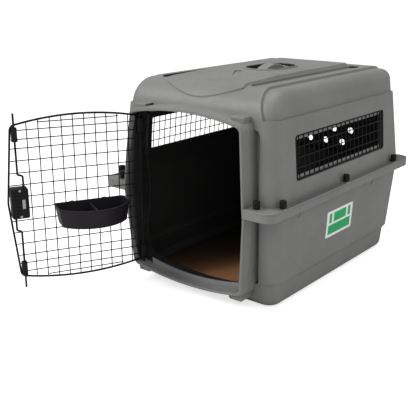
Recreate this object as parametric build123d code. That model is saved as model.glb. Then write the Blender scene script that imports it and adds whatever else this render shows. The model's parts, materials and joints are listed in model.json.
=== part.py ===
"""Two-shell moulded plastic pet transport carrier with a wire door.

Frame: origin on the floor at the centre of the flange rectangle, front (door) towards -Y,
right-hand side +X, up +Z.  Millimetres.  The door is modelled in its open rest position.
"""
from build123d import *
import math
import os

# ---------------------------------------------------------------- driving dimensions
LENGTH = 711.0              # flange, front to back
WIDTH = 520.0               # flange, side to side
FLANGE_TOP = 262.0          # top face of the joined flanges
WALL = 3.5                  # moulded wall
DOOR_OPEN = 117.0           # rest opening angle of the door, degrees

# flanges
FLANGE_PLATE = 5.0          # each shell's flange plate
SKIRT_DEPTH = 22.0          # full height of the flange band
SKIRT_WALL = 4.0
FLANGE_CORNER = 30.0
SEAM = FLANGE_TOP - FLANGE_PLATE
BAND_BOTTOM = FLANGE_TOP - SKIRT_DEPTH

# lower shell, outer surface: (height, half width, front y, back y)
WALL_CORNER = 38.0
LOWER_LEVELS = [
    (FLANGE_TOP, 244.0, -317.5, 330.5),
    (68.0, 233.0, -294.0, 312.5),
    (58.0, 226.5, -288.0, 306.0),
    (0.0, 223.0, -281.0, 300.0),
]
BASE_ROUND = 22.0           # rounding between the walls and the base

# upper shell, outer surface
UPPER_HALF = 241.6          # foot of the side walls, at the flange top
UPPER_FRONT = -317.5        # foot of the front wall
UPPER_BACK = 330.5          # foot of the rear wall
UPPER_TAPER = 4.8           # lean of the side walls, degrees
REAR_LEAN = 6.4             # lean of the rear wall, degrees
FRONT_LEAN = 4.2            # lean of the front wall, degrees
ROOF = 519.0                # roof rails
ROOF_ROUND = 35.0
FRONT_ROUND = 72.0          # front wall into roof
SHOULDER_Z = 452.0          # bottom of the recessed shoulder
SHOULDER_INSET = 5.5
SHOULDER_HALF = (197.0, 170.0)  # inner edge of the shoulder, low down and at the roof
PLATEAU_TOP = 527.0         # raised middle of the roof
PLATEAU_HALF = 118.0
PLATEAU_NOSE = -293.0
PLATEAU_FRONT = -266.0      # where its straight sides begin
PLATEAU_FULL = -115.0       # where it reaches its full height
PLATEAU_START = ROOF + 2.0  # its height at the nose
PLATEAU_BACK = 236.0
PLATEAU_CORNER = 18.0
PLATEAU_SLOPE = 32.0        # draft of the plateau sides, degrees
GROOVE_DEPTH = 5.0          # channel between plateau and roof rail
GROOVE_WIDTH = 34.0
GROOVE_LENGTH = 480.0
GROOVE_Y = -10.0            # its middle
ROOF_SLOT = (100.0, 19.0, 2.4)      # slot in the roof: length, width, depth
ROOF_SLOT_PLACE = (4.0, -139.0)
ROOF_SLOT_TURN = 121.0      # degrees from +X
VENT_R = 9.5                # breathing holes in the rear wall
VENT_PITCH = 55.5
VENT_ROWS = [(57.0, [-1.5, -0.5, 0.5, 1.5]), (18.0, [-1, 0, 1])]

# strap hook pockets in the lower side walls
STRAP_NOTCH_Y = (-213.5, 152.5)
STRAP_NOTCH_Z = (219.0, 229.0)
STRAP_NOTCH_HALF = 9.0
STRAP_NOTCH_X = 240.8       # how deep the pocket reaches

# door and doorway outlines; heights are measured from DOOR_MID
DOOR_MID = FLANGE_TOP - 20.0
DOOR = dict(mid=180.5, bend=0, top_half=162.7, low_half=162.7,
            crown=205.5, top_corner=187, sag=-205.5, low_corner=-187)
THROAT = dict(mid=182, bend=0, top_half=164.5, low_half=166,
              crown=214, top_corner=196, sag=-210, low_corner=-192)
STOP = dict(mid=170, bend=0, top_half=153, low_half=153,
            crown=211, top_corner=193, sag=-195, low_corner=-177)
GUTTER = dict(mid=202, bend=0, top_half=192, low_half=188,
              crown=196, top_corner=188, sag=-190, low_corner=-182)
OUTLINE_CORNER = 15.0       # rounding of the outlines' corners
OUTLINE_BEND = 60.0         # rounding where the sides bend

# doorway collar
RIM_Y = -LENGTH / 2         # front of the collar, at the flange
RIM_LEAN = (3.1, 3.8)       # the rim leans back above and below the flange, degrees
COLLAR_REACH = 115.0        # how far back the collar may run
COLLAR_FLARE = 5.0          # the collar's outside widens towards the wall
COLLAR_WALL = 4.0
DOOR_Y = -325.5             # plane of the door rods
GUTTER_DEPTH = 14.0         # channel beside the collar
STOP_Y = -318.5             # front face of the door stop
BOSS_REACH = 219.5          # far end of the rod bosses, from DOOR_MID
BOSS_HEIGHT = 45.0
BOSS_CHAMFER = 3.0
BOSS_X = (128.0, 166.0)
BOSS_Y = (-331.0, -285.0)
SOCKET_END = 3.5            # closed end of a rod socket
SWING_START = 70.0          # part of the door's swing that passes the collar, degrees from closed
SWING_END = DOOR_OPEN + 4.0
SWING_SPAN = 95.0           # part of the door that passes it, from the hinge
SWING_CLEAR = 1.0

# door lattice
ROD_X = 152.4               # hinge rod and latch rods, from the centre plane
ROD_R = 2.5
ROD_REACH = 214.5           # tip of an extended rod, from DOOR_MID
RUN_CLEAR = 0.05            # radial running clearance
LATCH_CLEAR = 1.0           # radial room of a latch rod in its socket
FRAME_R = 2.5
WIRE_R = 1.3
GAP = 0.1                   # working gap between pieces that only touch
COLUMN_PITCH = 27.3
COLUMNS = [(index + 0.5) * COLUMN_PITCH for index in range(-5, 5)]
ROW_PITCH = 29.2
ROW_HEIGHTS = [(index + 0.5) * ROW_PITCH for index in range(5)] + [152.6, 173.8]
END_ROW = 190.0             # short outermost level wire
END_ROW_HALF = 3.5 * COLUMN_PITCH + 2.0
LATTICE_Y = DOOR_Y - ROD_R - GAP - WIRE_R       # level wires, just outside the rods
UPRIGHT_Y = LATTICE_Y - 2 * WIRE_R              # upright wires
FRAME_Y = (LATTICE_Y + UPRIGHT_Y) / 2
GUIDE_Z = 164.5             # middle of the rod guides, from DOOR_MID
GUIDE_HALF = (6.5, 16.0)    # half width and half height

# squeeze latch; heights are measured from DOOR_MID
CASE_X = (ROD_X - 21.5, ROD_X + 19.0)
CASE_MID_X = (CASE_X[0] + CASE_X[1]) / 2
CASE_Z = 36.8               # half height
CASE_WALL = 2.5
CASE_FRONT = DOOR_Y - 20.0
CASE_SPLIT = DOOR_Y + 2.8
CASE_BACK = DOOR_Y + 5.5
CASE_CORNER = 4.0
FINGER_WINDOW = (7.0, 4.3)  # margins around the finger window, sideways and in height
CASE_RIB_PITCH = 9.0
POST_R = 3.0
POST_DEPTH = 16.5
UPPER_ROD_X = ROD_X - 11.8
LOWER_ROD_X = ROD_X + 11.0
ROD_JOG = 70.0              # height of the jog in the latch rods
JOG_STEP = 4.0
JOG_ROUND = 4.0
LATCH_TRAVEL = 20.0
TAB_NEAR = LATCH_TRAVEL + 1.0   # face of a tab nearest the middle of the latch
TAB_FAR = TAB_NEAR + 11.0
TAB_GRIP = 9.0              # length of rod held in a tab
SPRING_SEAT = CASE_Z - CASE_WALL
SPRING_WIRE = 0.45
SPRING_R = 2.3
SPRING_TURNS = 11
LATCH_LABEL = (7.0, 22.0)   # width and height
LATCH_LABEL_X = ROD_X - 9.3

# feeding cup
CUP_HALF = 86.0
CUP_DEPTH = 100.0
CUP_SIDE = 55.0             # straight part of its sides
CUP_CORNER = 8.0
CUP_TOP = FLANGE_TOP - 29.0
CUP_HEIGHT = 46.0
CUP_DRAFT = 9.0             # degrees
CUP_WALL = 2.2
CUP_RIM = 2.5
CUP_X = -COLUMN_PITCH / 2
CUP_Y = DOOR_Y + ROD_R + 1.0        # back of the cup
HOOK_HALF = 5.0
HOOK_PLATE = 2.0
HOOK_REACH = 9.5            # how far a hook reaches below the wire's top

# windows, measured on the side wall
WINDOW_LENGTH = 443.0
WINDOW_HEIGHT = 107.0
WINDOW_Y = 1.0
WINDOW_Z = FLANGE_TOP + 96.5
WINDOW_LEDGE = 12.0
POCKET_DEPTH = 7.0
WINDOW_CORNER = 9.0
GRILLE_SPAN = WINDOW_LENGTH - 16.0     # outside of the grille's frame, along and up the wall
GRILLE_RISE = WINDOW_HEIGHT - 2.0
GRILLE_PITCH = 22.0
GRILLE_R = 1.25
GRILLE_FRAME_R = 2.0

# carry handle in the roof
HANDLE_Y = 15.0
DISH_LENGTH = 156.0
DISH_WIDTH = 98.0
LEDGE_DEPTH = 11.0          # shelves at the ends of the dish that hold the handle
DISH_DEPTH = 34.0           # hand room between the shelves
HAND_ROOM = 100.0           # length between the shelves
DISH_RIM = (6.0, 3.0)       # raised rim around the dish: width, height
HANDLE_HALF = 74.0
HANDLE_WIDTH = 30.0
HANDLE_END = 7.0            # thickness of the handle's ends
HANDLE_FLAT = 26.0          # length of each flat end
HANDLE_RISE = 13.0          # the arch's top above its ends
HANDLE_THICK = 12.0
HANDLE_SCREW_Y = 61.0       # from the handle's centre
SCREW_R = 2.1
SCREW_BORE = 2.2

# flange fasteners
BOLT_R = 3.0
BOLT_CLEAR = 0.2
BOLT_HEAD = 3.6             # height of the head
BOLT_HEAD_R = 4.3
SIDE_BOLT_X = 251.5
SIDE_BOLT_Y = [-295.5, -7.5, 262.5]
FRONT_BOLT = (208.0, -336.0)
NUT_R = 8.0
NUT_HEIGHT = 19.0
NUT_LOBES = 6
WASHER = 1.2

# liner and label
PAD = (400.0, 530.0, 6.0)   # width, length, thickness
PAD_Y = 9.0
PAD_CORNER = 30.0
LABEL = (131.0, 70.0)       # length along the wall, height
LABEL_PLACE = (-7.0, FLANGE_TOP - 103.0)        # along the wall, height

os.makedirs("parts", exist_ok=True)


# ---------------------------------------------------------------- helpers
def write(shape, node):
    """Write one node as a STEP file."""
    export_step(shape, f"parts/{node}.step")


def block(x0, x1, y0, y1, z0, z1):
    """Axis-aligned box from its limits."""
    size = Box(x1 - x0, y1 - y0, z1 - z0)
    return Pos((x0 + x1) / 2, (y0 + y1) / 2, (z0 + z1) / 2) * size


def rod(x, y, z0, z1, radius):
    """Upright round bar."""
    return Pos(x, y, (z0 + z1) / 2) * Cylinder(radius, z1 - z0)


def cross_bar(x0, x1, y, z, radius):
    """Round bar along X."""
    return Pos((x0 + x1) / 2, y, z) * Rot(0, 90, 0) * Cylinder(radius, x1 - x0)


def both_sides(shape):
    """The shape and its mirror image across the centre plane."""
    return [shape, mirror(shape, about=Plane.YZ)]


def plan_section(z, half, front, back, corner):
    """Rounded rectangle in plan at height z."""
    sketch = RectangleRounded(2 * half, back - front, corner)
    return Pos(0, (front + back) / 2, z) * sketch


def front_plane(y):
    """Plane facing the front at depth y, X to the right and Z up."""
    return Plane(origin=(0, y, 0), x_dir=(1, 0, 0), z_dir=(0, -1, 0))


def front_prism(sketch, front, back):
    """Extrude a front-view sketch between two depths."""
    return extrude(front_plane(back) * sketch, amount=back - front)


# ---------------------------------------------------------------- shell bodies
def lower_body(inset=0.0):
    """Solid envelope of the lower shell, its walls moved inward by the inset."""
    sections = [
        plan_section(z, half - inset, front + inset, back - inset, WALL_CORNER - inset)
        for z, half, front, back in LOWER_LEVELS
    ]
    body = loft(sections[0:2], ruled=True)
    for above, below in zip(sections[1:], sections[2:]):
        body += loft([above, below], ruled=True)
    if inset:
        body -= block(-WIDTH, WIDTH, -LENGTH, LENGTH, -1, inset)
    bottom = body.faces().sort_by(Axis.Z)[0]
    return fillet(bottom.edges(), BASE_ROUND - inset)


def upper_box(inset, roof, front_round):
    """Tapered box with a leaning front that rolls over into the roof."""
    height = roof - FLANGE_TOP
    side_lean, rear_lean, front_lean = [
        height * math.tan(math.radians(lean)) for lean in (UPPER_TAPER, REAR_LEAN, FRONT_LEAN)
    ]
    foot_half = UPPER_HALF - inset
    foot_front, foot_back = UPPER_FRONT + inset, UPPER_BACK - inset
    foot = Pos(0, (foot_front + foot_back) / 2, FLANGE_TOP)
    foot *= Rectangle(2 * foot_half, foot_back - foot_front)
    top_half = foot_half - side_lean
    top_front, top_back = foot_front + front_lean, foot_back - rear_lean
    top = Pos(0, (top_front + top_back) / 2, roof) * Rectangle(2 * top_half, top_back - top_front)
    body = loft([foot, top], ruled=True)
    front_edge = body.edges().filter_by(Axis.X).group_by(Axis.Z)[-1].sort_by(Axis.Y)[0]
    body = fillet(front_edge, front_round - inset)
    upright = [edge for edge in body.edges() if edge.center().Z > FLANGE_TOP + 1]
    folds = [edge for edge in upright if not on_flat_front_roll(edge)]
    return fillet(folds, ROOF_ROUND - inset)


def on_flat_front_roll(edge):
    """True for the straight seams where the front roll meets the front wall and the roof."""
    box = edge.bounding_box()
    spans_width = box.size.X > WIDTH / 2
    return spans_width and box.max.Y < 0


def shoulder_region(grow):
    """Wedges over the two upper sides where the wall is set back."""
    low, high = SHOULDER_Z - grow, ROOF + 60
    foot_x, roof_x = [half - grow for half in SHOULDER_HALF]
    edge = Polyline(
        (foot_x, low), (WIDTH, low), (WIDTH, high), (roof_x, high), (roof_x, ROOF - grow), close=True
    )
    side = front_prism(make_face(edge), -LENGTH, LENGTH)
    return side + mirror(side, about=Plane.YZ)


def plateau_prism(grow):
    """Plan outline of the raised middle of the roof, with a rounded front."""
    half, back, nose = PLATEAU_HALF + grow, PLATEAU_BACK + grow, PLATEAU_NOSE - grow
    front = PLATEAU_FRONT
    edge = (
        ThreePointArc((-half, front), (0, nose), (half, front))
        + Line((half, front), (half, back))
        + Line((half, back), (-half, back))
        + Line((-half, back), (-half, front))
    )
    plan = fillet(make_face(edge).vertices(), PLATEAU_CORNER)
    foot = ROOF - GROOVE_DEPTH
    body = Pos(0, 0, foot - 130) * extrude(plan, amount=130)
    body += Pos(0, 0, foot) * extrude(plan, amount=30, taper=PLATEAU_SLOPE)
    return body - plateau_ramp(grow)


def plateau_ramp(grow):
    """Space above the plateau's front, where it rises gently to its full height."""
    start, full = PLATEAU_START + grow, PLATEAU_TOP + grow
    side_view = Polyline(
        (PLATEAU_NOSE, start), (PLATEAU_FULL, full), (PLATEAU_FULL, full + 60),
        (-LENGTH, full + 60), (-LENGTH, start), close=True
    )
    plane = Plane(origin=(-WIDTH, 0, 0), x_dir=(0, 1, 0), z_dir=(1, 0, 0))
    return extrude(plane * make_face(side_view), amount=2 * WIDTH)


def dish_plan(grow):
    """Rounded outline of the dish under the carry handle."""
    return Pos(0, HANDLE_Y) * SlotOverall(DISH_LENGTH + 2 * grow, DISH_WIDTH + 2 * grow, rotation=90)


def dish_cut(grow):
    """Room for the carry handle: a shallow dish with a deeper middle."""
    half = HAND_ROOM / 2 + grow
    ledge = Pos(0, 0, PLATEAU_TOP - LEDGE_DEPTH - grow) * extrude(dish_plan(grow), amount=90)
    depth = DISH_DEPTH + grow
    room = Pos(0, 0, PLATEAU_TOP - depth) * extrude(dish_plan(grow), amount=depth)
    return ledge + (room & block(-WIDTH, WIDTH, HANDLE_Y - half, HANDLE_Y + half, 0, 700))


def dish_rim():
    """Raised rim around the dish."""
    width, height = DISH_RIM
    ring = extrude(dish_plan(width), amount=height) - extrude(dish_plan(0), amount=height)
    ring = fillet(ring.edges().group_by(Axis.Z)[-1], height * 0.45)
    return Pos(0, 0, PLATEAU_TOP) * ring


def roof_groove(grow):
    """Channel between the plateau and the right roof rail."""
    x0, x1 = PLATEAU_HALF - grow, PLATEAU_HALF + GROOVE_WIDTH + grow
    floor = ROOF - GROOVE_DEPTH - grow
    plan = Pos((x0 + x1) / 2, GROOVE_Y) * SlotOverall(GROOVE_LENGTH + 2 * grow, x1 - x0, rotation=90)
    return Pos(0, 0, floor) * extrude(plan, amount=60)


def upper_body(inset=0.0):
    """Solid envelope of the upper shell, its walls moved inward by the inset."""
    body = upper_box(inset, ROOF - inset, FRONT_ROUND)
    body += upper_box(inset - 2.0, PLATEAU_TOP - inset, FRONT_ROUND + 8) & plateau_prism(-inset)
    set_back = upper_box(inset + SHOULDER_INSET, ROOF - SHOULDER_INSET - inset, FRONT_ROUND)
    body -= shoulder_region(inset) - set_back
    for groove in both_sides(roof_groove(inset)):
        body -= groove
    return body - dish_cut(inset)


# ---------------------------------------------------------------- doorway
def outline(shape, grow=0.0):
    """Outline of the doorway or door: bowed top and bottom, and sides bent at one height."""
    bend, high, low = shape["bend"], shape["top_corner"] + grow, shape["low_corner"] - grow
    mid, top_half, low_half = shape["mid"] + grow, shape["top_half"] + grow, shape["low_half"] + grow
    edges = (
        ThreePointArc((-top_half, high), (0, shape["crown"] + grow), (top_half, high))
        + Line((top_half, high), (mid, bend))
        + Line((mid, bend), (low_half, low))
        + ThreePointArc((low_half, low), (0, shape["sag"] - grow), (-low_half, low))
        + Line((-low_half, low), (-mid, bend))
        + Line((-mid, bend), (-top_half, high))
    )
    face = make_face(edges)
    face = fillet([v for v in face.vertices() if abs(v.Y - bend) < 1], OUTLINE_BEND)
    corners = [v for v in face.vertices() if v.Y > high - 1 or v.Y < low + 1]
    return Pos(0, DOOR_MID) * fillet(corners, OUTLINE_CORNER + grow / 2)


def passage():
    """The way through the doorway, inside the collar."""
    return front_prism(outline(THROAT), -LENGTH, RIM_Y + COLLAR_REACH)


def rim_space():
    """Everything in front of the collar's rim, which leans back from the flange."""
    rise = FLANGE_TOP
    top_y, low_y = [RIM_Y + rise * math.tan(math.radians(lean)) for lean in RIM_LEAN]
    side_view = Polyline(
        (RIM_Y, FLANGE_TOP), (top_y, FLANGE_TOP + rise), (-LENGTH, FLANGE_TOP + rise),
        (-LENGTH, FLANGE_TOP - rise), (low_y, FLANGE_TOP - rise), close=True
    )
    plane = Plane(origin=(-WIDTH, 0, 0), x_dir=(0, 1, 0), z_dir=(1, 0, 0))
    return extrude(plane * make_face(side_view), amount=2 * WIDTH)


def collar_solid(back):
    """Outside of the collar: it widens from the rim to the door plane, then runs straight back."""
    wide = outline(THROAT, COLLAR_WALL + COLLAR_FLARE)
    rim = front_plane(RIM_Y) * outline(THROAT, COLLAR_WALL)
    flared = loft([rim, front_plane(DOOR_Y) * wide], ruled=True)
    return flared + front_prism(wide, DOOR_Y, back)


def rod_boss(side, up):
    """Block on the collar that holds one end of a door rod."""
    near, far = [DOOR_MID + up * reach for reach in (BOSS_REACH - BOSS_HEIGHT, BOSS_REACH)]
    boss = block(BOSS_X[0], BOSS_X[1], BOSS_Y[0], BOSS_Y[1], min(near, far), max(near, far))
    boss = fillet(boss.edges().filter_by(Axis.Y), 4)
    far_edges = boss.edges().filter_by(Axis.X).group_by(Axis.Z)[-1 if up > 0 else 0]
    boss = chamfer(far_edges.sort_by(Axis.Y)[0], BOSS_CHAMFER)
    return boss if side > 0 else mirror(boss, about=Plane.YZ)


def rod_socket(side, up):
    """Blind hole for one end of a door rod: hinge on the left, latch on the right."""
    radius = ROD_R + (LATCH_CLEAR if side > 0 else RUN_CLEAR)
    near, far = [DOOR_MID + up * reach for reach in (BOSS_REACH - BOSS_HEIGHT, BOSS_REACH - SOCKET_END)]
    return rod(side * ROD_X, DOOR_Y, min(near, far), max(near, far), radius)


def doorway(envelope, up):
    """Collar, gutter and stop of one shell: what they add to it and what they cut from it."""
    back = RIM_Y + COLLAR_REACH
    gutter_floor = Pos(0, GUTTER_DEPTH, 0) * envelope
    gutter_back = Pos(0, GUTTER_DEPTH + WALL, 0) * envelope
    slab = front_prism(outline(GUTTER, WALL), RIM_Y, back) & envelope
    ring = outline(GUTTER) - outline(THROAT, COLLAR_WALL)
    gutter = front_prism(ring, RIM_Y, back) - gutter_floor
    collar = collar_solid(back)
    for side in (-1, 1):
        collar += rod_boss(side, up)
    stop = front_prism(outline(THROAT, 1) - outline(STOP), STOP_Y, STOP_Y + WALL)
    stop -= block(-WIDTH, -BOSS_X[0], -LENGTH, 0, 0, 600)
    return slab - gutter_back, collar - gutter_back - rim_space(), gutter, stop


def swing_relief():
    """Room that the opening door sweeps past the hinge-side corners of the collar."""
    face_y = FRAME_Y - FRAME_R - SWING_CLEAR
    door = front_plane(face_y) * outline(DOOR, SWING_CLEAR)
    strip = door & block(-ROD_X, -ROD_X + SWING_SPAN, face_y - 1, face_y + 1, 0, 600)
    axis = Axis((-ROD_X, DOOR_Y, 0), (0, 0, 1))
    fan = revolve(strip, axis, revolution_arc=SWING_END - SWING_START)
    return Pos(-ROD_X, DOOR_Y, 0) * Rot(0, 0, -SWING_END) * Pos(ROD_X, -DOOR_Y, 0) * fan


def add_doorway(shell, envelope, up):
    """Build the doorway into a shell and drill the rod sockets."""
    slab, collar, gutter, stop = doorway(envelope, up)
    shell = (shell + slab - gutter) + collar - passage() + stop
    for side in (-1, 1):
        shell -= rod_socket(side, up)
    return shell - swing_relief()


# ---------------------------------------------------------------- flanges
def flange_outline(shrink=0.0):
    corner = FLANGE_CORNER - shrink
    return RectangleRounded(WIDTH - 2 * shrink, LENGTH - 2 * shrink, corner)


def bolt_places():
    """Centres of the flange bolts in plan."""
    places = [(SIDE_BOLT_X, y) for y in SIDE_BOLT_Y] + [FRONT_BOLT]
    return [(side * x, y) for x, y in places for side in (-1, 1)]


def flange(z0, z1, cavity):
    """One shell's flange plate, open over the cabin and the doorway, with bolt holes."""
    plate = Pos(0, 0, z0) * extrude(flange_outline(), amount=z1 - z0)
    plate = chamfer(plate.edges().group_by(Axis.Z)[0] + plate.edges().group_by(Axis.Z)[-1], 0.8)
    plate = plate - cavity - passage()
    for x, y in bolt_places():
        plate -= rod(x, y, z0 - 1, z1 + 1, BOLT_R + BOLT_CLEAR)
    return plate


# ---------------------------------------------------------------- lower shell
def strap_notches():
    """Shallow hook pockets high on the side walls."""
    half, (low, high) = STRAP_NOTCH_HALF, STRAP_NOTCH_Z
    notch = block(STRAP_NOTCH_X, WIDTH / 2, -half, half, low, high)
    notch = fillet(notch.edges().filter_by(Axis.X), 4)
    pair = [Pos(0, y, 0) * notch for y in STRAP_NOTCH_Y]
    return [one for notch in pair for one in both_sides(notch)]


def make_lower_shell():
    outer, cavity = lower_body(), lower_body(WALL)
    outer &= block(-WIDTH, WIDTH, -LENGTH, LENGTH, -1, SEAM)
    shell = outer - cavity
    shell = add_doorway(shell, lower_body(), -1)
    plate = flange(SEAM - FLANGE_PLATE, SEAM, cavity)
    skirt_ring = flange_outline() - flange_outline(SKIRT_WALL)
    skirt = Pos(0, 0, BAND_BOTTOM) * extrude(skirt_ring, amount=SKIRT_DEPTH - 2 * FLANGE_PLATE + 1)
    skirt -= passage()
    shell = shell + plate + skirt
    for notch in strap_notches():
        shell -= notch
    return shell & block(-WIDTH, WIDTH, -LENGTH, LENGTH, -1, SEAM)


# ---------------------------------------------------------------- upper shell
def side_wall_place():
    """Place on the right side wall at the window's centre, outward along local Z."""
    lean = math.radians(UPPER_TAPER)
    x = UPPER_HALF - (WINDOW_Z - FLANGE_TOP) * math.tan(lean)
    wall = Plane(
        origin=(x, WINDOW_Y, WINDOW_Z), x_dir=(0, 1, 0), z_dir=(math.cos(lean), 0, math.sin(lean))
    )
    return wall.location


def window_slab(grow, low, high):
    """Rounded slab of the window's outline between two depths in the wall."""
    corner = max(WINDOW_CORNER + grow, 4.0)
    plan = RectangleRounded(WINDOW_LENGTH + 2 * grow, WINDOW_HEIGHT + 2 * grow, corner)
    return Pos(0, 0, low) * extrude(plan, amount=high - low)


def cut_windows(shell):
    """Stepped window pocket with an open middle in each side wall."""
    place = side_wall_place()
    tray = place * window_slab(WALL, -POCKET_DEPTH - WALL, -WALL / 2)
    pocket = place * window_slab(0, -POCKET_DEPTH, 20)
    opening = place * window_slab(-WINDOW_LEDGE, -POCKET_DEPTH - 20, 20)
    for part in both_sides(tray):
        shell += part
    for part in both_sides(pocket) + both_sides(opening):
        shell -= part
    return shell


def cut_vents(shell):
    """Staggered round breathing holes in the rear wall."""
    for height, columns in VENT_ROWS:
        for column in columns:
            hole = Rot(90, 0, 0) * Cylinder(VENT_R, 80)
            shell -= Pos(column * VENT_PITCH, 320, FLANGE_TOP + height) * hole
    return shell


def roof_slot():
    """Shallow slanted slot in the roof ahead of the dish."""
    length, width, depth = ROOF_SLOT
    plan = extrude(RectangleRounded(length, width, width / 5), amount=2 * depth)
    return Pos(*ROOF_SLOT_PLACE, PLATEAU_TOP - depth) * Rot(0, 0, ROOF_SLOT_TURN) * plan


def make_upper_shell():
    outer, cavity = upper_body(), upper_body(WALL)
    foot_ring = upper_box(0, ROOF, FRONT_ROUND).faces().sort_by(Axis.Z)[0]
    cavity_foot = upper_box(WALL, ROOF, FRONT_ROUND).faces().sort_by(Axis.Z)[0]
    cavity_low = extrude(cavity_foot, amount=10, dir=(0, 0, -1))
    envelope = outer + extrude(foot_ring, amount=FLANGE_PLATE + 20, dir=(0, 0, -1))
    shell = outer - cavity
    shell = add_doorway(shell, envelope, 1)
    shell += flange(SEAM, FLANGE_TOP, cavity_low)
    shell = cut_vents(cut_windows(shell))
    shell = shell + dish_rim() - roof_slot()
    for end in (-1, 1):
        shell -= rod(0, HANDLE_Y + end * HANDLE_SCREW_Y, ROOF - 60, ROOF + 60, SCREW_BORE)
    return shell & block(-WIDTH, WIDTH, -LENGTH, LENGTH, SEAM, 700)


# ---------------------------------------------------------------- carry handle
def handle_side_view():
    """Side view of the handle: an arch between two flat ends, seated on the shelves."""
    seat = PLATEAU_TOP - LEDGE_DEPTH
    end_top = seat + HANDLE_END
    crown = end_top + HANDLE_RISE
    flat = HANDLE_HALF - HANDLE_FLAT
    under_flat = flat - 4
    edges = ThreePointArc((-flat, end_top), (0, crown), (flat, end_top))
    edges += Polyline((flat, end_top), (HANDLE_HALF, end_top), (HANDLE_HALF, seat), (under_flat, seat))
    edges += ThreePointArc((under_flat, seat), (0, crown - HANDLE_THICK), (-under_flat, seat))
    edges += Polyline((-under_flat, seat), (-HANDLE_HALF, seat), (-HANDLE_HALF, end_top), (-flat, end_top))
    return make_face(edges)


def make_handle():
    """Arched grip over the dish, its flat ends screwed to the shelves."""
    plane = Plane(origin=(-HANDLE_WIDTH / 2, HANDLE_Y, 0), x_dir=(0, 1, 0), z_dir=(1, 0, 0))
    bar = extrude(plane * handle_side_view(), amount=HANDLE_WIDTH)
    plan = Pos(0, HANDLE_Y, 0) * RectangleRounded(HANDLE_WIDTH, 2 * HANDLE_HALF, HANDLE_WIDTH / 2 - 1)
    bar &= extrude(plan, amount=PLATEAU_TOP + HANDLE_RISE)
    bar = fillet(bar.edges().group_by(Axis.Z)[-1], 2.5)
    for end in (-1, 1):
        place = HANDLE_Y + end * HANDLE_SCREW_Y
        bar -= rod(0, place, ROOF - 60, ROOF + 60, SCREW_BORE)
    return bar


def make_handle_screws():
    """Pan-head screws through the handle's ends into the shelves."""
    seat = PLATEAU_TOP - LEDGE_DEPTH + HANDLE_END
    screws = []
    for end in (-1, 1):
        head = Pos(0, 0, seat + 1.4) * Cylinder(4.5, 2.8)
        head = fillet(head.edges().group_by(Axis.Z)[-1], 1.6)
        screw = head + rod(0, 0, seat - 14, seat + 0.1, SCREW_R)
        screw -= block(-3, 3, -0.6, 0.6, seat + 1.5, seat + 4)
        screw -= block(-0.6, 0.6, -3, 3, seat + 1.5, seat + 4)
        screws.append(Pos(0, HANDLE_Y + end * HANDLE_SCREW_Y, 0) * screw)
    return Compound(children=screws)


# ---------------------------------------------------------------- flange fasteners
def make_bolts():
    """Bolts from under the flange, heads below."""
    under = SEAM - FLANGE_PLATE
    top = FLANGE_TOP + WASHER + NUT_HEIGHT - 3
    head = Pos(0, 0, under - BOLT_HEAD) * extrude(RegularPolygon(BOLT_HEAD_R, 6), amount=BOLT_HEAD)
    bolt = head + rod(0, 0, under - 0.5, top, BOLT_R)
    return Compound(children=[Pos(x, y, 0) * bolt for x, y in bolt_places()])


def make_washers():
    washer = Cylinder(NUT_R - 0.2, WASHER) - Cylinder(BOLT_R + BOLT_CLEAR, WASHER)
    seat = FLANGE_TOP + WASHER / 2
    return Compound(children=[Pos(x, y, seat) * washer for x, y in bolt_places()])


def make_nuts():
    """Hand nuts: a round skirt under a fluted knob, closed on top."""
    knob = Pos(0, 0, NUT_HEIGHT / 2) * Cylinder(NUT_R, NUT_HEIGHT)
    knob = fillet(knob.edges().group_by(Axis.Z)[-1], 3)
    for index in range(NUT_LOBES):
        turn = Rot(0, 0, index * 360 / NUT_LOBES)
        knob -= turn * Pos(NUT_R + 1.0, 0, NUT_HEIGHT / 2 + 4) * Cylinder(2.4, NUT_HEIGHT)
    knob -= rod(0, 0, -1, NUT_HEIGHT - 2.5, BOLT_R + RUN_CLEAR)
    seat = FLANGE_TOP + WASHER
    return Compound(children=[Pos(x, y, seat) * knob for x, y in bolt_places()])


# ---------------------------------------------------------------- window grilles
def wire_loop(length, height, corner, radius):
    """Closed rounded loop of round wire lying flat, its outside edge on the given size."""
    centre = RectangleRounded(length - 2 * radius, height - 2 * radius, corner)
    path = centre.faces()[0].outer_wire()
    start = Plane(origin=path @ 0, z_dir=path % 0)
    return sweep(start * Circle(radius), path=path)


def make_window_frame():
    lift = -POCKET_DEPTH + GRILLE_FRAME_R + GAP
    loop = wire_loop(GRILLE_SPAN, GRILLE_RISE, WINDOW_CORNER - 2, GRILLE_FRAME_R)
    return side_wall_place() * Pos(0, 0, lift) * loop


def make_window_mesh():
    """Upright wires on the ledge with three long wires across them."""
    lift = -POCKET_DEPTH + GRILLE_R + GAP
    inner_length = GRILLE_SPAN - 4 * GRILLE_FRAME_R - 2 * GAP
    inner_height = GRILLE_RISE - 4 * GRILLE_FRAME_R - 2 * GAP
    columns = int(inner_length / 2 / GRILLE_PITCH)
    wires = []
    for index in range(-columns, columns + 1):
        upright = Rot(90, 0, 0) * Cylinder(GRILLE_R, inner_height)
        wires.append(Pos(index * GRILLE_PITCH, 0, lift) * upright)
    for row in (-1, 0, 1):
        long_wire = Rot(0, 90, 0) * Cylinder(GRILLE_R, inner_length)
        wires.append(Pos(0, row * inner_height / 4, lift + 2 * GRILLE_R) * long_wire)
    place = side_wall_place()
    return [place * wire for wire in wires]


# ---------------------------------------------------------------- door
def open_door(shape):
    """Turn a piece from the closed place to the open rest pose about the hinge rod."""
    return Pos(-ROD_X, DOOR_Y, 0) * Rot(0, 0, -DOOR_OPEN) * Pos(ROD_X, -DOOR_Y, 0) * shape


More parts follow.
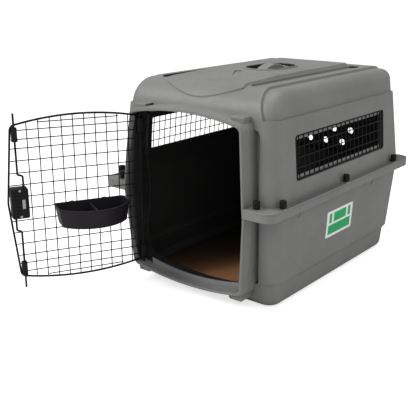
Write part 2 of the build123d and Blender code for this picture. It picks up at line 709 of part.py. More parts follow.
def make_door_frame(clearance=0.0):
    """Heavy wire loop around the door."""
    centre_line = outline(DOOR, -FRAME_R)
    path = (front_plane(FRAME_Y) * centre_line).faces()[0].outer_wire()
    start = Plane(origin=path @ 0, z_dir=path % 0)
    return sweep(start * Circle(FRAME_R + clearance), path=path)


def case_room():
    """Space in the lattice taken by the latch case."""
    return block(
        CASE_X[0] - GAP, CASE_X[1] + GAP, CASE_FRONT - 5, CASE_BACK + 5,
        DOOR_MID - CASE_Z - GAP, DOOR_MID + CASE_Z + GAP,
    )


def trimmed(bars):
    """Lattice wires cut to butt against the frame and the latch case."""
    inside = front_prism(outline(DOOR, -2 * FRAME_R - GAP), FRAME_Y - 20, FRAME_Y + 20)
    pieces = []
    for bar in bars:
        cut = (bar & inside) - case_room()
        pieces += [solid for solid in cut.solids() if solid.volume > 20]
    return pieces


def make_upright_wires():
    bars = [rod(x, UPRIGHT_Y, 20, 500, WIRE_R) for x in COLUMNS]
    return trimmed(bars)


def make_level_wires():
    heights = [DOOR_MID + sign * height for height in ROW_HEIGHTS for sign in (-1, 1)]
    bars = [cross_bar(-ROD_X * 1.3, ROD_X * 1.3, LATTICE_Y, z, WIRE_R) for z in heights]
    for z in (DOOR_MID - END_ROW, DOOR_MID + END_ROW):
        bars.append(cross_bar(-END_ROW_HALF, END_ROW_HALF, LATTICE_Y, z, WIRE_R))
    return trimmed(bars)


def jogged_rod(x_start, z_start, z_jog, x_end, z_end):
    """Round rod with one sideways jog, from a tip to an end."""
    step = math.copysign(JOG_STEP, z_end - z_start)
    path = FilletPolyline(
        (x_start, DOOR_Y, z_start),
        (x_start, DOOR_Y, z_jog),
        (x_end, DOOR_Y, z_jog + step),
        (x_end, DOOR_Y, z_end),
        radius=JOG_ROUND,
    )
    start = Plane(origin=path @ 0, z_dir=path % 0)
    bar = sweep(start * Circle(ROD_R), path=path)
    tip = bar.faces().sort_by(lambda face: (face.center() - Vector(x_start, DOOR_Y, z_start)).length)[0]
    return chamfer(tip.edges(), 0.8)


def make_hinge_rod():
    bar = rod(-ROD_X, DOOR_Y, DOOR_MID - ROD_REACH, DOOR_MID + ROD_REACH, ROD_R)
    return chamfer(bar.edges().filter_by(GeomType.CIRCLE), 0.8)


def guide(x, z):
    """Moulded guide that clips a rod to the lattice."""
    half_width, half_height = GUIDE_HALF
    outside, inside = UPRIGHT_Y - WIRE_R - 3.5, DOOR_Y + ROD_R + 3
    body = block(x - half_width, x + half_width, outside, inside, z - half_height, z + half_height)
    body = fillet(body.edges().filter_by(Axis.Z), 2.5)
    body -= rod(x, DOOR_Y, z - 30, z + 30, ROD_R + RUN_CLEAR)
    for height in ROW_HEIGHTS:
        for sign in (-1, 1):
            level = DOOR_MID + sign * height
            body -= cross_bar(x - 20, x + 20, LATTICE_Y, level, WIRE_R + RUN_CLEAR)
    return (body - make_door_frame(RUN_CLEAR)).solids().sort_by(SortBy.VOLUME)[-1]


# ---------------------------------------------------------------- squeeze latch
def screw_places():
    """Cover screws at the top and bottom middle of the latch."""
    return [(CASE_MID_X, DOOR_MID + sign * (CASE_Z - CASE_WALL - POST_R + 0.6)) for sign in (-1, 1)]


def make_latch_case():
    """Ribbed outer half of the squeeze latch, open towards the cover."""
    z0, z1 = DOOR_MID - CASE_Z, DOOR_MID + CASE_Z
    (x0, x1), wall = CASE_X, CASE_WALL
    side_margin, end_margin = FINGER_WINDOW
    case = block(x0, x1, CASE_FRONT, CASE_SPLIT, z0, z1)
    case = fillet(case.edges().filter_by(Axis.Y), CASE_CORNER)
    case -= block(x0 + wall, x1 - wall, CASE_FRONT + wall, CASE_SPLIT + 1, z0 + wall, z1 - wall)
    case -= block(
        x0 + side_margin, x1 - side_margin, CASE_FRONT - 1, CASE_FRONT + 3, z0 + end_margin, z1 - end_margin
    )
    case -= rod(UPPER_ROD_X, DOOR_Y, z1 - 5, z1 + 5, ROD_R + RUN_CLEAR)
    case -= rod(LOWER_ROD_X, DOOR_Y, z0 - 5, z0 + 5, ROD_R + RUN_CLEAR)
    for index in range(-3, 4):
        for x in CASE_X:
            rib_gap = Pos(x, CASE_FRONT + 9, DOOR_MID + index * CASE_RIB_PITCH) * Rot(90, 0, 0)
            case -= rib_gap * Cylinder(1.2, 14)
    for x, z in screw_places():
        post = Pos(x, CASE_SPLIT - POST_DEPTH / 2, z) * Rot(90, 0, 0)
        case += post * Cylinder(POST_R, POST_DEPTH)
        case -= Pos(x, CASE_SPLIT - 5, z) * Rot(90, 0, 0) * Cylinder(SCREW_BORE - 0.9, 12)
    return case


def make_latch_cover():
    """Flat inner half of the squeeze latch with stiffening ribs."""
    z0, z1 = DOOR_MID - CASE_Z, DOOR_MID + CASE_Z
    x0, x1 = CASE_X
    cover = block(x0, x1, CASE_SPLIT + GAP / 2, CASE_BACK, z0, z1)
    cover = fillet(cover.edges().filter_by(Axis.Y), CASE_CORNER)
    for index in range(-3, 4):
        z = DOOR_MID + index * CASE_RIB_PITCH
        for rib_x0, rib_x1 in ((x0 + 1, x0 + 6), (CASE_MID_X - 1, x1 - 6)):
            cover += block(rib_x0, rib_x1, CASE_BACK - 0.5, CASE_BACK + 1.6, z - 1.2, z + 1.2)
    for x, z in screw_places():
        cover -= Pos(x, CASE_SPLIT, z) * Rot(90, 0, 0) * Cylinder(SCREW_BORE - 0.7, 20)
    for x, z in ((UPPER_ROD_X, z1), (LOWER_ROD_X, z0)):
        cover -= rod(x, DOOR_Y, z - 6, z + 6, ROD_R + 2 * RUN_CLEAR)
    return cover


def make_latch_screws():
    screws = []
    for x, z in screw_places():
        head = Pos(x, CASE_BACK + 0.7, z) * Rot(90, 0, 0) * Cylinder(2.8, 1.4)
        shank = Pos(x, CASE_BACK - 5.5, z) * Rot(90, 0, 0) * Cylinder(1.25, 11.2)
        slot = block(x - 2.2, x + 2.2, CASE_BACK + 0.8, CASE_BACK + 2, z - 0.4, z + 0.4)
        screws.append(head + shank - slot)
    return screws


def latch_tab(x, up):
    """Finger tab clamped on the end of a latch rod; its pad fills half of the finger window."""
    pad_x0, pad_x1 = CASE_X[0] + FINGER_WINDOW[0] + 0.6, CASE_X[1] - FINGER_WINDOW[0] - 0.6
    carrier = block(x - 4.8, x + 4.8, CASE_FRONT + 3.2, DOOR_Y + 2.5, TAB_NEAR, TAB_FAR)
    pad = block(pad_x0, pad_x1, CASE_FRONT + 0.4, CASE_FRONT + 3.4, TAB_NEAR, TAB_FAR)
    lip = block(pad_x0, pad_x1, CASE_FRONT - 5, CASE_FRONT + 0.6, TAB_FAR - 3, TAB_FAR)
    tab = carrier + pad + lip
    tab -= rod(x, DOOR_Y, TAB_FAR - TAB_GRIP, TAB_FAR + 5, ROD_R)
    if up < 0:
        tab = mirror(tab, about=Plane.XY)
    return Pos(0, 0, DOOR_MID) * tab


def latch_spring(x, up):
    """Coil between a tab and the far end of the latch case."""
    room = 0.5
    height = SPRING_SEAT + TAB_NEAR - 2 * (room + SPRING_WIRE)
    helix = Helix(pitch=height / SPRING_TURNS, height=height, radius=SPRING_R)
    start = Plane(origin=helix @ 0, z_dir=helix % 0)
    coil = sweep(start * Circle(SPRING_WIRE), path=helix, is_frenet=True)
    low = -SPRING_SEAT if up > 0 else -TAB_NEAR
    return Pos(x, DOOR_Y, DOOR_MID + low + room + SPRING_WIRE) * coil


def make_latch_label():
    """Blank plate on the latch cover."""
    width, height = LATCH_LABEL
    x, z = LATCH_LABEL_X, DOOR_MID - 1.7
    x0, x1, z0, z1 = x - width / 2, x + width / 2, z - height / 2, z + height / 2
    return block(x0, x1, CASE_BACK + GAP / 2, CASE_BACK + 0.6, z0, z1)


# ---------------------------------------------------------------- feeding cup
def cup_plan(shrink):
    """D-shaped plan: straight along the door, rounded into the cabin."""
    half, back, front = CUP_HALF - shrink, CUP_Y + shrink, CUP_Y + CUP_DEPTH - shrink
    side = CUP_Y + CUP_SIDE
    edges = (
        Line((-half, back), (half, back))
        + Line((half, back), (half, side))
        + ThreePointArc((half, side), (0, front), (-half, side))
        + Line((-half, side), (-half, back))
    )
    face = make_face(edges)
    return Pos(CUP_X, 0) * fillet(face.vertices(), CUP_CORNER)


def cup_solid(shrink, low, high):
    """Drafted cup body, wider at the rim."""
    top = Pos(0, 0, high) * cup_plan(shrink)
    return extrude(top, amount=high - low, dir=(0, 0, -1), taper=CUP_DRAFT)


def cup_hook(x):
    """Hook from the back of the cup over the level wire just under its rim."""
    under = DOOR_MID - ROW_HEIGHTS[0] + WIRE_R + 0.2
    inside, outside = CUP_Y + CUP_WALL / 2, UPRIGHT_Y - WIRE_R - 0.5
    front = outside - HOOK_PLATE
    x0, x1 = x - HOOK_HALF, x + HOOK_HALF
    bridge = block(x0, x1, front, inside, under, under + HOOK_PLATE)
    nose = block(x0, x1, front, outside, under - HOOK_REACH, under + HOOK_PLATE)
    return bridge + nose


def make_feeding_cup():
    """Double bowl with a divider, a rolled rim and two hooks over a lattice wire."""
    floor = CUP_TOP - CUP_HEIGHT
    cup = cup_solid(0, floor, CUP_TOP)
    hollow = cup_solid(CUP_WALL, floor + CUP_WALL, CUP_TOP)
    divider = block(CUP_X - 1.5, CUP_X + 1.5, CUP_Y - 5, CUP_Y + CUP_DEPTH, floor, CUP_TOP - 6)
    rim = extrude(cup_plan(-CUP_RIM + 0.6), amount=CUP_RIM) - extrude(cup_plan(CUP_WALL), amount=CUP_RIM)
    cup = cup - hollow + (divider & cup) + Pos(0, 0, CUP_TOP - CUP_RIM) * rim
    for x in (CUP_X - 1.5 * COLUMN_PITCH, CUP_X + 1.5 * COLUMN_PITCH):
        cup += cup_hook(x)
    return cup


# ---------------------------------------------------------------- soft and flat pieces
def make_floor_pad():
    """Liner on the cabin floor."""
    width, length, thick = PAD
    pad = Pos(0, PAD_Y, WALL + 0.3) * extrude(RectangleRounded(width, length, PAD_CORNER), amount=thick)
    return fillet(pad.edges().group_by(Axis.Z)[-1], 2)


def make_side_label():
    """Plain sticker on the right lower wall."""
    (high, half_high, _, _), (low, half_low, _, _) = LOWER_LEVELS[:2]
    y, z = LABEL_PLACE
    lean = math.atan2(half_high - half_low, high - low)
    x = half_high - (high - z) * math.tan(lean)
    wall = Plane(origin=(x, y, z), x_dir=(0, 1, 0), z_dir=(math.cos(lean), 0, -math.sin(lean)))
    return wall.location * Pos(0, 0, GAP) * extrude(RectangleRounded(*LABEL, 3), amount=0.4)


# ---------------------------------------------------------------- build
def main():
    write(make_lower_shell(), "lower_shell")
    write(make_upper_shell(), "upper_shell")
    write(make_handle(), "carry_handle")
    write(make_handle_screws(), "handle_screws")
    write(make_bolts(), "flange_bolts")
    write(make_washers(), "flange_washers")
    write(make_nuts(), "flange_nuts")

    right_frame, left_frame = both_sides(make_window_frame())
    write(right_frame, "right_window_frame_wire")
    write(left_frame, "left_window_frame_wire")
    mesh = make_window_mesh()
    write(Compound(children=mesh), "right_window_mesh")
    write(Compound(children=[mirror(w, about=Plane.YZ) for w in mesh]), "left_window_mesh")
    write(make_floor_pad(), "floor_pad")
    write(make_side_label(), "side_label")

    upper_rod = jogged_rod(
        ROD_X, DOOR_MID + ROD_REACH, DOOR_MID + ROD_JOG, UPPER_ROD_X, DOOR_MID + TAB_FAR - TAB_GRIP
    )
    lower_rod = jogged_rod(
        ROD_X, DOOR_MID - ROD_REACH, DOOR_MID - ROD_JOG, LOWER_ROD_X, DOOR_MID - TAB_FAR + TAB_GRIP
    )
    door_pieces = {
        "door_frame": [make_door_frame()],
        "door_upright_wires": make_upright_wires(),
        "door_level_wires": make_level_wires(),
        "hinge_rod": [make_hinge_rod()],
        "hinge_rod_guides": [guide(-ROD_X, DOOR_MID + sign * GUIDE_Z) for sign in (-1, 1)],
        "upper_rod_guide": [guide(ROD_X, DOOR_MID + GUIDE_Z)],
        "lower_rod_guide": [guide(ROD_X, DOOR_MID - GUIDE_Z)],
        "latch_case": [make_latch_case()],
        "latch_cover": [make_latch_cover()],
        "latch_screws": make_latch_screws(),
        "latch_label": [make_latch_label()],
        "upper_latch_rod": [upper_rod],
        "lower_latch_rod": [lower_rod],
        "upper_latch_tab": [latch_tab(UPPER_ROD_X, 1)],
        "lower_latch_tab": [latch_tab(LOWER_ROD_X, -1)],
        "upper_latch_spring": [latch_spring(UPPER_ROD_X, 1)],
        "lower_latch_spring": [latch_spring(LOWER_ROD_X, -1)],
        "feeding_cup": [make_feeding_cup()],
    }
    for node, pieces in door_pieces.items():
        turned = [open_door(piece) for piece in pieces]
        write(turned[0] if len(turned) == 1 else Compound(children=turned), node)


main()
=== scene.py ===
import json
import math

import bmesh
import bpy
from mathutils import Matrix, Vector, noise


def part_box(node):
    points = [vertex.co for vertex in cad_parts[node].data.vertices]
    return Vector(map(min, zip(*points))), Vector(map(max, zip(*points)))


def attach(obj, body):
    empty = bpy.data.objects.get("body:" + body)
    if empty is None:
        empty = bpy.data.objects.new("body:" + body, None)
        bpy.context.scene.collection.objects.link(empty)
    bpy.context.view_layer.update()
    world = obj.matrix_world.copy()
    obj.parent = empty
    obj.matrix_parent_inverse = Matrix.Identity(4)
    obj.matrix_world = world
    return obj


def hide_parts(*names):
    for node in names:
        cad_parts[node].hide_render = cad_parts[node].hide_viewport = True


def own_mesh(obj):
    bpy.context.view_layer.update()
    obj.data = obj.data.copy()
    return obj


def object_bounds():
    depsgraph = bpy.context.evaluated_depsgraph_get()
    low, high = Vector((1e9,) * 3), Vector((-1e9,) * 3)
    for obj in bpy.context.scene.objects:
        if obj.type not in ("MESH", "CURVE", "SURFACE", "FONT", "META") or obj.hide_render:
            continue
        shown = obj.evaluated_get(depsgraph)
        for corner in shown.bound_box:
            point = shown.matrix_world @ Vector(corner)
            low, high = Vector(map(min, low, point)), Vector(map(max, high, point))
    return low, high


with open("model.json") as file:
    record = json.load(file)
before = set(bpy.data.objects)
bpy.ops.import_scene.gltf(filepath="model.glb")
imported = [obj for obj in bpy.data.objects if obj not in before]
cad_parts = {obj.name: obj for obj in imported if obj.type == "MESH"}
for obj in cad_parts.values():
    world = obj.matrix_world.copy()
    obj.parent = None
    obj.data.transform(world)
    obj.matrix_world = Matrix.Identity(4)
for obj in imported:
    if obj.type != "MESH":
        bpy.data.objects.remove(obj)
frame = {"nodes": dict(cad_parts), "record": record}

cad_low, cad_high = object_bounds()
NODES = frame["nodes"]


# ------------------------------------------------------------------ small tools
class Shader:
    """A node material with short calls for adding and joining nodes."""

    def __init__(self, name):
        self.material = bpy.data.materials.new(name)
        self.material.use_nodes = True
        self.tree = self.material.node_tree
        self.tree.nodes.clear()
        self.output = self.tree.nodes.new("ShaderNodeOutputMaterial")
        self.surface = self.add("ShaderNodeBsdfPrincipled")
        self.tree.links.new(self.surface.outputs[0], self.output.inputs["Surface"])

    def add(self, kind, **settings):
        node = self.tree.nodes.new(kind)
        for key, value in settings.items():
            setattr(node, key, value)
        return node

    def join(self, source, target):
        self.tree.links.new(source, target)

    def feed(self, target, value):
        """Set an input from a number, a colour or another node's output."""
        if isinstance(value, bpy.types.NodeSocket):
            self.join(value, target)
        else:
            target.default_value = value

    def set(self, name, value):
        """Set one of the surface's own inputs."""
        self.feed(self.surface.inputs[name], value)

    def position(self):
        return self.add("ShaderNodeNewGeometry").outputs["Position"]

    def noise(self, scale, detail=3.0, rough=0.5):
        node = self.add("ShaderNodeTexNoise")
        node.inputs["Scale"].default_value = scale
        node.inputs["Detail"].default_value = detail
        node.inputs["Roughness"].default_value = rough
        self.join(self.position(), node.inputs["Vector"])
        return node.outputs["Fac"]

    def math(self, operation, first, second=0.0):
        node = self.add("ShaderNodeMath", operation=operation)
        self.feed(node.inputs[0], first)
        self.feed(node.inputs[1], second)
        return node.outputs[0]

    def span(self, value, low, high, out_low=0.0, out_high=1.0):
        """Map low..high to out_low..out_high, held at both ends."""
        node = self.add("ShaderNodeMapRange", clamp=True)
        self.feed(node.inputs["Value"], value)
        node.inputs["From Min"].default_value = low
        node.inputs["From Max"].default_value = high
        node.inputs["To Min"].default_value = out_low
        node.inputs["To Max"].default_value = out_high
        return node.outputs["Result"]

    def mix(self, share, first, second):
        """The first colour at share 0, the second at share 1."""
        node = self.add("ShaderNodeMix", data_type="RGBA")
        self.feed(node.inputs["Factor"], share)
        self.feed(node.inputs[6], first)
        self.feed(node.inputs[7], second)
        return node.outputs[2]

    def axes(self, vector):
        """The x, y and z of a vector."""
        node = self.add("ShaderNodeSeparateXYZ")
        self.join(vector, node.inputs[0])
        return node.outputs

    def bump(self, height, distance, strength=1.0, normal=None):
        node = self.add("ShaderNodeBump")
        node.inputs["Distance"].default_value = distance
        node.inputs["Strength"].default_value = strength
        self.join(height, node.inputs["Height"])
        if normal is not None:
            self.join(normal, node.inputs["Normal"])
        return node.outputs["Normal"]

    def edge_round(self, radius):
        """Normals that make sharp edges look rounded by the radius."""
        node = self.add("ShaderNodeBevel", samples=4)
        node.inputs["Radius"].default_value = radius
        return node.outputs["Normal"]


def rgb(red, green, blue):
    return (red, green, blue, 1.0)


def shade(colour, factor):
    return rgb(*[channel * factor for channel in colour[:3]])


# ------------------------------------------------------------------ materials
SHELL_GREY = rgb(0.203, 0.202, 0.199)
GRAIN = 1500.0           # scale of the moulded grain
GRAIN_DEPTH = 0.00006
CABIN_FRONT = -0.314     # where the cabin begins behind the doorway collar; the painted shade on the shell's inner faces starts here
SHADE_START = 0.09       # how far behind the pad's front edge the painted shade begins
SHADE_DEPTH = 0.062      # distance over which the painted shade takes the pad's colour down to a third
SEAM_SHADOW = 0.008      # height of the dark seam between the shells, seen inside


def moulded_plastic(name, colour, roughness, edge=0.0009, specular=0.5):
    """Moulded plastic: fine spark-eroded grain, faint mottling, scuffed edges."""
    shader = Shader(name)
    mottle = shader.noise(9.0, 4.0)
    toned = shader.mix(shader.span(mottle, 0.35, 0.65), shade(colour, 0.94), shade(colour, 1.06))
    rounded = shader.edge_round(edge)
    flat = shader.add("ShaderNodeNewGeometry").outputs["Normal"]
    turn = shader.add("ShaderNodeVectorMath", operation="DOT_PRODUCT")
    shader.join(rounded, turn.inputs[0])
    shader.join(flat, turn.inputs[1])
    scuff = shader.noise(140.0, 5.0, 0.7)
    worn = shader.math(
        "MULTIPLY",
        shader.span(turn.outputs["Value"], 0.995, 0.90),
        shader.span(scuff, 0.42, 0.62),
    )
    toned = shader.mix(shader.math("MULTIPLY", worn, 0.35), toned, shade(colour, 1.45))
    shader.set("Base Color", toned)
    gloss = shader.noise(60.0, 4.0)
    shader.set("Roughness", shader.span(gloss, 0.3, 0.7, roughness - 0.05, roughness + 0.06))
    grain = shader.noise(GRAIN, 2.0)
    shader.set("Normal", shader.bump(grain, GRAIN_DEPTH, 0.6, rounded))
    shader.set("Specular IOR Level", specular)
    shader.toned = toned
    return shader


def shell_plastic():
    """Grey shell plastic with painted shade inside: inner faces deep in the cabin, and the collar's left
    inner wall, are painted dark in place of the shade they lie in.
    """
    shader = moulded_plastic("shell_plastic", SHELL_GREY, 0.50)
    geometry = shader.add("ShaderNodeNewGeometry")
    x, y, z = shader.axes(geometry.outputs["Position"])
    nx, ny, nz = shader.axes(geometry.outputs["Normal"])
    low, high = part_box("lower_shell")[0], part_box("upper_shell")[1]
    lift = shader.math("MULTIPLY", nz, shader.math("SUBTRACT", z, (low.z + high.z) / 2))
    outward = shader.math("ADD", shader.math("MULTIPLY", nx, x), shader.math("MULTIPLY", ny, y))
    facing_in = shader.span(shader.math("ADD", outward, lift), 0.01, -0.02)

    # Painted shade: inward faces behind the collar take a near-black colour, 16 percent of the grey, with
    # a darker line at the seam between the shells.
    cabin_shade_mask = shader.math("MULTIPLY", facing_in, shader.span(y, CABIN_FRONT, CABIN_FRONT + 0.004))
    seam_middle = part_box("lower_shell")[1].z - SEAM_SHADOW / 2
    seam_gap = shader.math("ABSOLUTE", shader.math("SUBTRACT", z, seam_middle))
    seam = shader.span(seam_gap, SEAM_SHADOW / 2, SEAM_SHADOW / 2 + 0.002)
    painted_cabin_shade = shader.mix(seam, shade(SHELL_GREY, 0.02), shade(SHELL_GREY, 0.16))

    # Painted shade: the collar's left inner wall, facing right, is painted 16 percent of the grey in
    # place of the shade it lies in.
    left_wall_shade_mask = shader.math("MULTIPLY", facing_in, shader.span(y, low.y, low.y + 0.03))
    left_wall_shade_mask = shader.math("MULTIPLY", left_wall_shade_mask, shader.span(nx, 0.2, 0.8))
    left_wall_shade_mask = shader.math("MULTIPLY", left_wall_shade_mask, shader.span(x, -0.06, -0.15))

    colour = shader.mix(cabin_shade_mask, shader.toned, painted_cabin_shade)
    shader.set("Base Color", shader.mix(left_wall_shade_mask, colour, shade(SHELL_GREY, 0.16)))
    # Less specular reflection where the shade is painted.
    painted_shade_share = shader.math("MAXIMUM", cabin_shade_mask, left_wall_shade_mask)
    shader.set("Specular IOR Level", shader.span(painted_shade_share, 0.0, 1.0, 0.5, 0.08))
    return shader.material


def coated_wire():
    """Black powder-coated steel wire with a slight orange-peel skin."""
    shader = Shader("black_wire")
    fleck = shader.noise(220.0, 4.0, 0.6)
    colour = shader.mix(shader.span(fleck, 0.35, 0.7), rgb(0.004, 0.004, 0.004), rgb(0.009, 0.009, 0.009))
    shader.set("Base Color", colour)
    shader.set("Roughness", shader.span(fleck, 0.3, 0.7, 0.42, 0.56))
    shader.set("Specular IOR Level", 0.2)
    peel = shader.noise(900.0, 2.0)
    shader.set("Normal", shader.bump(peel, 0.00005, 0.5))
    return shader.material


def plated_steel(name, colour, roughness):
    """Zinc-plated or bare steel with fine drawn streaks and dull patches."""
    shader = Shader(name)
    patch = shader.noise(160.0, 4.0)
    toned = shader.mix(patch, shade(colour, 0.8), shade(colour, 1.1))
    shader.set("Base Color", toned)
    shader.set("Metallic", 1.0)
    dull = shader.span(patch, 0.3, 0.7, roughness - 0.06, roughness + 0.1)
    shader.set("Roughness", dull)
    shader.set("Normal", shader.bump(shader.noise(1200.0), 0.00002, 0.4))
    return shader.material


def label_film():
    """White film with plain green bands: no words, arrows or marks."""
    shader = Shader("label_film")
    low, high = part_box("side_label")
    _, y, z = shader.axes(shader.position())
    across = shader.span(y, low.y, high.y)
    up = shader.span(z, low.z, high.z)

    def band(value, start, end):
        above = shader.math("GREATER_THAN", value, start)
        below = shader.math("LESS_THAN", value, end)
        return shader.math("MULTIPLY", above, below)

    def panel(left, right, bottom, top):
        return shader.math("MULTIPLY", band(across, left, right), band(up, bottom, top))

    printed = panel(0.07, 0.93, 0.10, 0.46)
    for left, right in ((0.09, 0.19), (0.26, 0.74), (0.81, 0.91)):
        printed = shader.math("MAXIMUM", printed, panel(left, right, 0.54, 0.90))
    fibre = shader.noise(700.0, 3.0)
    green = shader.mix(fibre, rgb(0.004, 0.40, 0.115), rgb(0.006, 0.47, 0.14))
    white = shader.mix(fibre, rgb(0.93, 0.94, 0.95), rgb(0.97, 0.98, 0.99))
    shader.set("Base Color", shader.mix(printed, white, green))
    shader.set("Roughness", 0.45)
    shader.set("Specular IOR Level", 0.25)
    shader.set("Normal", shader.bump(shader.noise(60.0), 0.0002, 0.3))
    return shader.material


def felt():
    """Needle-felt liner: short matted fibres, with painted shade that takes its colour to near black
    towards the back left of the cabin.
    """
    shader = Shader("pad_felt")
    worn = shader.noise(7.0, 5.0, 0.6)
    fibre = shader.noise(520.0, 6.0, 0.75)
    worn_share = shader.span(worn, 0.35, 0.68)
    base = shader.mix(worn_share, rgb(0.54, 0.255, 0.110), rgb(0.74, 0.370, 0.190))
    tufts = shader.mix(shader.span(fibre, 0.3, 0.7), rgb(0.37, 0.172, 0.076), base)
    x, y, _ = shader.axes(shader.position())
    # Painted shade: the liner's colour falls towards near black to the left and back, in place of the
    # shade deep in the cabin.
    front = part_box("floor_pad")[0].y + SHADE_START
    behind = shader.math("SUBTRACT", y, front)
    into_shade = shader.math("SUBTRACT", x, shader.math("MULTIPLY", behind, 0.5))
    painted_shade_fade = shader.math("EXPONENT", shader.math("DIVIDE", into_shade, SHADE_DEPTH))
    painted_shade_fade = shader.math("MINIMUM", painted_shade_fade, 1.1)
    shader.set("Base Color", shader.mix(painted_shade_fade, rgb(0.004, 0.002, 0.001), tufts))
    shader.set("Roughness", 0.95)
    shader.set("Specular IOR Level", 0.05)
    shader.set("Sheen Weight", 0.03)
    shader.set("Normal", shader.bump(fibre, 0.0006, 0.8))
    return shader.material


# ------------------------------------------------------------------ pieces
def dress(node, material):
    """Give a CAD node its finish and smooth its rounded faces."""
    piece = NODES[node]
    piece.data.materials.clear()
    piece.data.materials.append(material)
    for polygon in piece.data.polygons:
        polygon.use_smooth = True
    piece.data.set_sharp_from_angle(angle=math.radians(32))


def dress_cad():
    """Give every CAD node the finish of its material slot."""
    wire = coated_wire()
    black = moulded_plastic("black_plastic", rgb(0.007, 0.007, 0.007), 0.5, 0.0004, 0.22).material
    charcoal = moulded_plastic("cup_plastic", rgb(0.014, 0.012, 0.015), 0.5, 0.0006, 0.2).material
    grip = moulded_plastic("handle_plastic", shade(SHELL_GREY, 1.05), 0.45).material
    plate = moulded_plastic("blank_plate", rgb(0.42, 0.42, 0.44), 0.4, 0.0002).material
    zinc = plated_steel("zinc_steel", rgb(0.50, 0.50, 0.51), 0.38)
    spring = plated_steel("spring_steel", rgb(0.36, 0.36, 0.37), 0.32)
    shell = shell_plastic()
    finishes = {
        "shell_plastic": shell,
        "handle_plastic": grip,
        "black_plastic": black,
        "cup_plastic": charcoal,
        "black_wire": wire,
        "zinc_steel": zinc,
        "spring_steel": spring,
        "label_film": label_film(),
        "blank_plate": plate,
    }
    for entry in frame["record"]["subparts"]:
        if entry["material_slot"] in finishes:
            dress(entry["node"], finishes[entry["material_slot"]])


def compress_springs():
    """Give each latch spring's node its own copy of its mesh."""
    for joint in frame["record"]["behaviour"]["joints"]:
        for entry in joint.get("deforming_nodes", []):
            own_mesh(NODES[entry["node"]])


LINER_CELLS = (96, 128)  # across and along
LINER_CORNER = 0.03      # corner radius in plan
LINER_ROLL = 0.004       # width of the rolled edge
LINER_WAVE = 0.0012      # height of the slow waves
LINER_FUZZ = 0.0003      # height of the matted surface


def round_corner(x, y, half_width, half_length):
    """Pull a point of the square sheet in to the rounded corner."""
    straight_x, straight_y = half_width - LINER_CORNER, half_length - LINER_CORNER
    over_x, over_y = max(abs(x) - straight_x, 0), max(abs(y) - straight_y, 0)
    if over_x > 0 and over_y > 0:
        scale = max(over_x, over_y) / math.hypot(over_x, over_y)
        x = math.copysign(straight_x + over_x * scale, x)
        y = math.copysign(straight_y + over_y * scale, y)
    return x, y


def liner_point(u, v, side, low, high):
    """Point at shares u across and v along the top sheet (side 1) or the bottom one (side -1)."""
    size = high - low
    x, y = round_corner((u - 0.5) * size.x, (v - 0.5) * size.y, size.x / 2, size.y / 2)
    edge = min(u * size.x, (1 - u) * size.x, v * size.y, (1 - v) * size.y)
    roll = math.sqrt(1 - max(0.0, 1 - edge / LINER_ROLL) ** 2)
    z = (low.z + high.z) / 2 + side * (size.z / 2 - LINER_WAVE) * (0.25 + 0.75 * roll)
    if side > 0:
        wave = noise.noise(Vector((x * 9, y * 7, 3.1))) * LINER_WAVE
        fuzz = noise.noise(Vector((x * 160, y * 160, 1.7))) * LINER_FUZZ
        z += wave * roll + fuzz
    return x, (low.y + high.y) / 2 + y, z


def liner_sheet(shape, side, low, high):
    """Add one sheet's points and faces to the shape; gives back its rows of points."""
    columns, rows = LINER_CELLS
    grid = []
    for row in range(rows + 1):
        v = row / rows
        shares = [column / columns for column in range(columns + 1)]
        places = [liner_point(u, v, side, low, high) for u in shares]
        grid.append([shape.verts.new(place) for place in places])
    for near, far in zip(grid, grid[1:]):
        for column in range(columns):
            shape.faces.new([near[column], near[column + 1], far[column + 1], far[column]][::side])
    return grid


def border(grid):
    """The outer loop of a sheet's points, in order."""
    right = [line[-1] for line in grid[1:-1]]
    left = [line[0] for line in reversed(grid[1:-1])]
    return grid[0] + right + grid[-1][::-1] + left


def build_pad():
    """Felt liner: a thin soft sheet with rolled edges and slight waves."""
    low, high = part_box("floor_pad")
    shape = bmesh.new()
    top, bottom = [border(liner_sheet(shape, side, low, high)) for side in (1, -1)]
    for index in range(len(top)):
        shape.faces.new([top[index], top[index - 1], bottom[index - 1], bottom[index]])
    bmesh.ops.recalc_face_normals(shape, faces=shape.faces)
    mesh = bpy.data.meshes.new("felt_liner")
    shape.to_mesh(mesh)
    shape.free()
    for polygon in mesh.polygons:
        polygon.use_smooth = True
    mesh.materials.append(felt())
    pad = bpy.data.objects.new("felt_liner", mesh)
    bpy.context.scene.collection.objects.link(pad)
    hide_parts("floor_pad")
    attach(pad, "shell")


# ------------------------------------------------------------------ stage
FLOOR_REACH = 12.0
FLOOR_GLOW = 0.68        # light added to the paper where the camera sees it


def floor_paper():
    """White paper, lit from behind for the camera so that it reads as white with faint shadows."""
    shader = Shader("floor_paper")
    fibre = shader.noise(30.0, 4.0)
    paper = shader.mix(fibre, rgb(0.74, 0.74, 0.74), rgb(0.78, 0.78, 0.78))
    shader.set("Base Color", paper)
    shader.set("Roughness", 0.9)
    shader.set("Specular IOR Level", 0.0)
    seen = shader.add("ShaderNodeLightPath").outputs["Is Camera Ray"]
    shader.set("Emission Color", rgb(1, 1, 1))
    shader.set("Emission Strength", shader.math("MULTIPLY", seen, FLOOR_GLOW))
    return shader.material


def build_floor():
    """Pale floor under and far behind the carrier."""
    reach = FLOOR_REACH
    corners = [(-reach, -reach, 0), (reach, -reach, 0), (reach, reach, 0), (-reach, reach, 0)]
    mesh = bpy.data.meshes.new("floor")
    mesh.from_pydata(corners, [], [(0, 1, 2, 3)])
    floor = bpy.data.objects.new("floor", mesh)
    bpy.context.scene.collection.objects.link(floor)
    mesh.materials.append(floor_paper())


FILL = 0.41              # strength of the even studio light
BACKDROP = 1.06          # brightness of the studio where the camera sees it
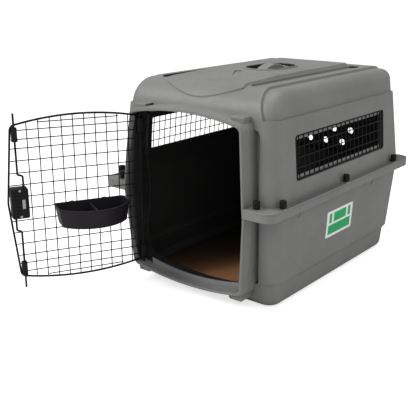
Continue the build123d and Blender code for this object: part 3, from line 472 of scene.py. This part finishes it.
# lamps: name, place, size of the square panel, power
LAMPS = [
    ("key", (-2.2, -3.0, 2.9), 1.8, 102),
    ("corner", (1.7, -2.5, 3.0), 1.4, 16),
    ("side", (3.2, 0.9, 1.9), 1.8, 16),
    ("top", (0.0, 0.3, 3.4), 2.2, 38),
]


def white_background(tree, strength):
    background = tree.nodes.new("ShaderNodeBackground")
    background.inputs["Color"].default_value = rgb(1, 1, 1)
    background.inputs["Strength"].default_value = strength
    return background.outputs[0]


def build_world():
    """Even white studio: seen as pure white, and lighting the scene softly."""
    world = bpy.data.worlds.new("studio")
    bpy.context.scene.world = world
    world.use_nodes = True
    tree = world.node_tree
    tree.nodes.clear()
    path = tree.nodes.new("ShaderNodeLightPath")
    blend = tree.nodes.new("ShaderNodeMixShader")
    output = tree.nodes.new("ShaderNodeOutputWorld")
    tree.links.new(path.outputs["Is Camera Ray"], blend.inputs[0])
    tree.links.new(white_background(tree, FILL), blend.inputs[1])
    tree.links.new(white_background(tree, BACKDROP), blend.inputs[2])
    tree.links.new(blend.outputs[0], output.inputs["Surface"])


def area_light(name, place, target, size, power):
    """Square soft lamp at a place, aimed at the target."""
    light = bpy.data.lights.new(name, "AREA")
    light.shape = "SQUARE"
    light.size = size
    light.energy = power
    lamp = bpy.data.objects.new(name, light)
    lamp.location = place
    lamp.rotation_euler = (Vector(target) - Vector(place)).to_track_quat("-Z", "Y").to_euler()
    bpy.context.scene.collection.objects.link(lamp)


def build_lights():
    middle = (cad_low + cad_high) / 2
    for name, place, size, power in LAMPS:
        area_light(name, place, middle, size, power)


CAMERA_PLACE = (1.0768, -1.585, 0.7489)
CAMERA_HEADING = 38.86   # degrees to the left of straight back
CAMERA_DIP = 17.66       # degrees below the horizon
CAMERA_LENS = 62.4       # millimetres on a 36 mm sensor


def build_camera():
    """Camera in front of the carrier's right corner, at about eye height of someone crouching."""
    data = bpy.data.cameras.new("camera")
    data.lens = CAMERA_LENS
    data.sensor_width = 36.0
    camera = bpy.data.objects.new("camera", data)
    camera.location = CAMERA_PLACE
    camera.rotation_euler = (math.radians(90 - CAMERA_DIP), 0, math.radians(CAMERA_HEADING))
    bpy.context.scene.collection.objects.link(camera)
    bpy.context.scene.camera = camera


dress_cad()
compress_springs()
build_pad()
build_floor()
build_world()
build_lights()
build_camera()
bpy.context.scene.view_settings.view_transform = "Standard"
